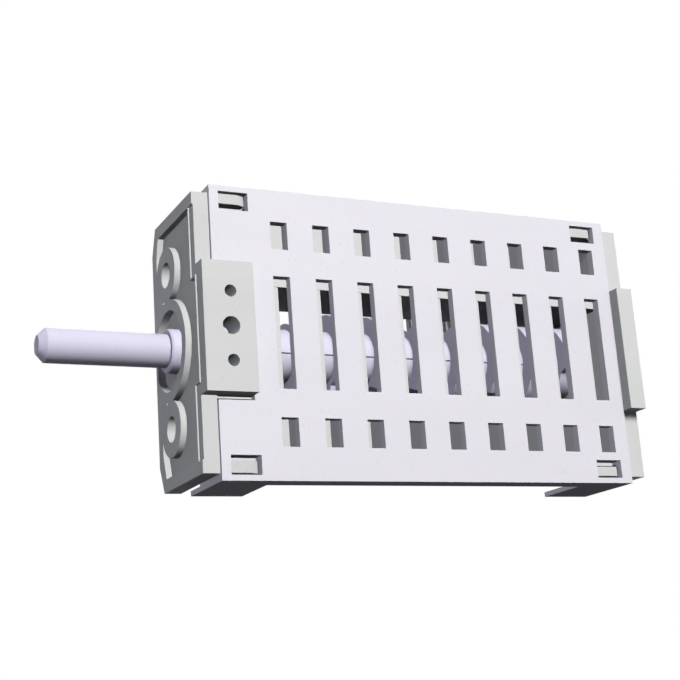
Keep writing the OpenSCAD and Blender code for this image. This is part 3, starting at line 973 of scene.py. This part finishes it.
@dataclass
class ContactBank:
    """Nine sets of terminals, blades and rivets, with silver faces on their contacts."""

    strip: MetalFinish
    bronze: MetalFinish
    rivet: MetalFinish
    silver: MetalFinish
    tab_t: float = 0.8
    taper_x: float = 0.9
    taper: float = 0.45
    face_rings: tuple[tuple[float, float], ...] = ((0.22, 0.12), (0.28, 0.07), (0.3, 0.03))
    head_rings: tuple[tuple[float, float], ...] = ((0.25, 0.12), (0.3, 0.06), (0.22, -0.1))
    stamped: float = 0.04
    fine: float = 0.025
    fixed_face: float = 2.1
    moving_face: float = 0.85
    face_play: float = 0.06
    head_play: float = 0.02
    tip_play: float = 0.01
    tab_play: float = 1.1
    button_z: float = 1.0
    button_r: float = 1.16
    fixed_t: float = 0.45
    blade_t: float = 0.38

    def build(self) -> None:
        """Model the first level's pieces, then copy them to the other levels."""
        silver, strip = self.silver.material(), self.strip.material()
        bronze, brass = self.bronze.material(), self.rivet.material()
        low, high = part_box("contact_blade_1")
        back, middle = low.x, high.z - self.button_z * MM
        upper, lower = self.build_strip("upper_terminal"), self.build_strip("lower_terminal")
        blade, rivet = Workpiece.of_node("contact_blade_1", "spring_blade_1"), self.build_rivet()
        self.raise_face(upper, back + self.fixed_face * MM, Vector((-1.0, 0.0, 0.0)))
        self.raise_face(blade, back + self.moving_face * MM, Vector((1.0, 0.0, 0.0)))
        upper.soften(self.stamped)
        for piece in (lower, blade, rivet):
            piece.soften(self.fine)

        def at_button(face: bmesh.types.BMFace, low_x: float, high_x: float) -> bool:
            """Say whether a face lies at a contact button.

            Args:
                face: Face of a strip or a blade.
                low_x: Least X behind the blade's back, in millimetres.
                high_x: Largest X behind the blade's back, in millimetres.

            Returns:
                Whether it lies at the buttons' height and between both.
            """
            centre = face.calc_center_median()
            return (abs(centre.z - middle) < self.button_r * MM
                    and back + low_x * MM < centre.x < back + high_x * MM)

        upper.paint(strip, silver, lambda face: at_button(face, -math.inf, self.fixed_face + self.fixed_t))
        lower.paint(strip)
        blade.paint(bronze, silver, lambda face: at_button(face, self.blade_t, math.inf))
        rivet.paint(brass)
        for piece, kind, slot in ((upper, "upper_terminal", Slot.TERMINAL),
                                  (lower, "lower_terminal", Slot.TERMINAL),
                                  (blade, "contact_blade", Slot.BLADE),
                                  (rivet, "blade_rivet", Slot.RIVET)):
            self.repeat(piece, kind, slot)

    def build_strip(self, kind: str) -> Workpiece:
        """Taper the tip of a push-on tab, as a coining tool does.

        Args:
            kind: Name of the terminals, without their level.

        Returns:
            The first level's strip.
        """
        piece = Workpiece.of_node(kind + "_1", kind.replace("terminal", "strip") + "_1")
        low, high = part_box(kind + "_1")
        half = self.tab_t / 2 * MM
        middle = (high.z - half) if high.z > 0 else (low.z + half)

        def in_tab(face: bmesh.types.BMFace) -> bool:
            """Say whether a face belongs to the tab.

            Args:
                face: Face of the strip.

            Returns:
                Whether it lies in the tab's thickness, and not on the strip's leg.
            """
            return abs(face.calc_center_median().z - middle) < self.tab_play * half

        piece.pick(in_tab)
        bpy.ops.mesh.bisect(plane_co=(low.x + self.taper_x * MM, 0.0, 0.0), plane_no=(1.0, 0.0, 0.0))
        piece.pick(lambda face: in_tab(face)
                   and face.calc_center_median().x < low.x + self.tip_play * MM)
        bpy.ops.transform.resize(value=(1.0, 1.0, self.taper), center_override=(low.x, 0.0, middle))
        piece.close()
        return piece

    def raise_face(self, piece: Workpiece, place: float, outward: Vector) -> None:
        """Dome the flat face of a contact button.

        Args:
            piece: Strip or blade with the button.
            place: X of the button's face, in metres.
            outward: Way that the face looks.
        """
        piece.pick(lambda face: face.normal.dot(outward) > FACING
                   and abs(face.calc_center_median().x - place) < self.face_play * MM)
        piece.dome(self.face_rings)
        piece.close()

    def build_rivet(self) -> Workpiece:
        """Form the head of a rivet, with the dimple of the forming punch.

        Returns:
            The first level's rivet.
        """
        piece = Workpiece.of_node("blade_rivet_1", "formed_rivet_1")
        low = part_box("blade_rivet_1")[0].x
        piece.pick(lambda face: face.normal.x < -FACING
                   and face.calc_center_median().x < low + self.head_play * MM)
        piece.dome(self.head_rings)
        piece.close()
        return piece

    def repeat(self, first: Workpiece, kind: str, slot: Slot) -> None:
        """Copy the first level's piece to the others, and let each stand for its node.

        Args:
            first: Finished piece of level 1.
            kind: Name of the nodes, without their level.
            slot: Material slot of the pieces.
        """
        stem = first.made.name[:-1]
        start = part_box(kind + "_1")[0]
        for level in range(2, LEVELS + 1):
            node = f"{kind}_{level}"
            first.shifted(f"{stem}{level}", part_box(node)[0] - start).settle(node, slot)
        first.settle(kind + "_1", slot)


@dataclass(frozen=True)
class Lamp:
    """One soft area lamp, aimed at the middle of the part."""

    name: str
    direction: Triple
    distance: float
    size: float
    level: float
    colour: Colour = WHITE
    passes: tuple[str, ...] = ()
    direct: bool = False

    def build(self, aim: Vector) -> None:
        """Add the lamp.

        Args:
            aim: Point that the lamp is turned to, in metres.
        """
        away = Vector(self.direction).normalized()
        bpy.ops.object.light_add(type="AREA", location=aim + away * self.distance)
        made = bpy.context.object
        made.name = self.name
        made.rotation_euler = away.to_track_quat("Z", "Y").to_euler()
        made.data.shape = "DISK"
        made.data.size = self.size
        made.data.energy = self.level * (math.pi * self.distance) ** 2
        made.data.color = self.colour
        if self.direct:
            made.data.cycles.use_multiple_importance_sampling = False
            made.data.cycles.max_bounces = 0
        if self.passes:
            self.reach_inside(made)

    def reach_inside(self, lamp: bpy.types.Object) -> None:
        """Let the lamp light what shows in the slots: the shells that it passes cast no shadow from it.

        Args:
            lamp: The lamp's object.
        """
        clear = bpy.data.collections.new(self.name + "_passes")
        for node in self.passes:
            clear.objects.link(STAND_INS.get(node, frame["nodes"][node]))
        for entry in clear.collection_objects:
            entry.light_linking.link_state = "EXCLUDE"
        lamp.light_linking.blocker_collection = clear


@dataclass
class Studio:
    """Floor, lamps, world and camera."""

    floor_z: float = -25.8 * MM
    floor_size: float = 4.0
    floor_fade: tuple[float, float] = (0.16, 0.5)
    floor_colour: Colour = (0.86, 0.86, 0.87)
    aim: Triple = (3.01 * MM, 32.15 * MM, 2.87 * MM)
    eye: Triple = (226.4766 * MM, -76.8795 * MM, -63.5140 * MM)
    lens: float = 73.9986
    sensor: float = 36.0
    clip: tuple[float, float] = (0.005, 20.0)
    roll: float = math.radians(4.106)
    ambient: float = 0.03
    lamps: tuple[Lamp, ...] = (
        Lamp("key_lamp", (0.91, -0.02, 0.40), 0.9, 0.4, 1.12, (1.0, 0.99, 0.965), KEY_PASSES, True),
        Lamp("front_lamp", (0.1, -1.0, -0.04), 1.0, 0.4, 0.175, (0.9, 0.905, 1.0), FRONT_PASSES, True),
        Lamp("overhead_lamp", (-0.12, 0.1, 1.0), 1.0, 0.4, 0.14),
        Lamp("back_lamp", (-0.95, 0.3, 0.35), 1.0, 0.5, 0.7),
        Lamp("end_lamp", (0.0, 0.95, 0.3), 1.0, 0.5, 0.45),
        Lamp("under_lamp", (-0.1, -0.1, -1.0), 1.0, 0.3, 0.022, (0.9, 0.9, 1.0), ("cover_shell",), True),
    )

    def build(self) -> None:
        """Add everything around the part."""
        self.build_world()
        self.build_floor()
        for lamp in self.lamps:
            lamp.build(Vector(self.aim))
        self.build_camera()
        bpy.context.scene.view_settings.view_transform = "Standard"

    def build_world(self) -> None:
        """White where it is looked at or mirrored, and dim as a light."""
        world = bpy.data.worlds.new("studio_world")
        world.use_nodes = True
        bpy.context.scene.world = world
        graph = Graph(world.node_tree)
        colour = graph.mix(graph.seen(), (self.ambient,) * 3, WHITE)
        graph.link(colour, world.node_tree.nodes["Background"].inputs["Color"])

    def build_floor(self) -> None:
        """Lay a pale floor that is only there from above, so that the camera sees past it."""
        Workpiece.clear_bench()
        bpy.ops.mesh.primitive_plane_add(size=self.floor_size, location=(0.0, 0.0, self.floor_z))
        bpy.ops.object.transform_apply(location=True, rotation=True, scale=True)
        floor = bpy.context.object
        floor.name = "studio_floor"
        made, graph, shader = blank_material("studio_floor_paint", self.floor_colour)
        shader.inputs["Roughness"].default_value = 0.9
        shader.inputs["Specular IOR Level"].default_value = 0.1
        graph.feed(self.floor_colour, shader.inputs["Base Color"])
        far = graph.node("VectorMath", operation="LENGTH")
        graph.link(graph.coords(), far.inputs[0])
        fade = graph.ramp(far.outputs["Value"], *self.floor_fade)
        glow = graph.node("Emission", Strength=1.0)
        lit = graph.blend(fade, shader.outputs["BSDF"], glow.outputs["Emission"])
        above = graph.math("SUBTRACT", 1.0, graph.node("NewGeometry").outputs["Backfacing"])
        shown = graph.math("MULTIPLY", graph.seen(), above)
        mixed = graph.blend(shown, graph.node("BsdfTransparent").outputs["BSDF"], lit)
        graph.link(mixed, made.node_tree.nodes["Material Output"].inputs["Surface"])
        floor.data.materials.append(made)

    def build_camera(self) -> None:
        """Set the camera where the solved view of the photograph has it."""
        bpy.ops.object.camera_add(location=self.eye)
        camera = bpy.context.object
        camera.name = "photo_camera"
        camera.data.lens = self.lens
        camera.data.sensor_width = self.sensor
        camera.data.clip_start, camera.data.clip_end = self.clip
        ahead = (Vector(self.aim) - Vector(self.eye)).normalized()
        level_right = ahead.cross(Vector((0.0, 0.0, 1.0))).normalized()
        level_up = level_right.cross(ahead)
        up = level_up * math.cos(self.roll) + level_right * math.sin(self.roll)
        right = ahead.cross(up)
        camera.rotation_euler = Matrix((right, up, -ahead)).transposed().to_euler()
        bpy.context.scene.camera = camera


LAVENDER = MouldedFinish(
    "moulded_lavender", (0.755, 0.742, 0.818), (0.735, 0.722, 0.798), (0.65, 0.637, 0.714))
ROTOR_LAVENDER = MouldedFinish(
    "turned_lavender", (0.77, 0.745, 0.935), (0.75, 0.725, 0.915), (0.68, 0.655, 0.82),
    roughness=0.52, flow=DRAWN)
SHAFT_LAVENDER = MouldedFinish(
    "shaft_lavender", (0.705, 0.69, 0.855), (0.685, 0.67, 0.835), (0.62, 0.605, 0.75), flow=DRAWN)
GREY = MouldedFinish(
    "moulded_grey", (0.652, 0.667, 0.674), (0.627, 0.642, 0.649), (0.532, 0.547, 0.555),
    specular=0.06)
CARRIER_GREY = MouldedFinish(
    "frame_grey", (0.695, 0.71, 0.715), (0.67, 0.685, 0.69), (0.57, 0.585, 0.59), specular=0.1)
PLUNGER_WHITE = MouldedFinish(
    "moulded_white", (0.78, 0.77, 0.70), (0.74, 0.73, 0.66), (0.66, 0.65, 0.58), roughness=0.4)
STRIP = MetalFinish("plated_strip", (0.72, 0.71, 0.68), (0.52, 0.49, 0.44))
BRONZE = MetalFinish(
    "silvered_bronze", (0.86, 0.84, 0.78), (0.70, 0.62, 0.50), roughness=0.42, tarnish=0.4)
BRASS = MetalFinish("turned_brass", (0.80, 0.66, 0.36), (0.58, 0.44, 0.22), lines=EVEN)
SILVER = MetalFinish(
    "contact_silver", (0.88, 0.87, 0.85), (0.62, 0.58, 0.52), roughness=0.3, lines=EVEN)
WIRE = MetalFinish(
    "drawn_steel", (0.56, 0.56, 0.58), (0.34, 0.33, 0.33), roughness=0.28, lines=EVEN)


def main() -> None:
    """Build the looks, piece by piece, and the studio."""
    logging.basicConfig(level=logging.INFO, format="%(name)s: %(message)s")
    for made in (Housing(LAVENDER, CARRIER_GREY), EndPlates(GREY), Rotor(ROTOR_LAVENDER, SHAFT_LAVENDER),
                 Detent(PLUNGER_WHITE, WIRE), ContactBank(STRIP, BRONZE, BRASS, SILVER), Studio()):
        made.build()
        LOG.info("built %s", type(made).__name__)


if __name__ == "__main__":
    main()
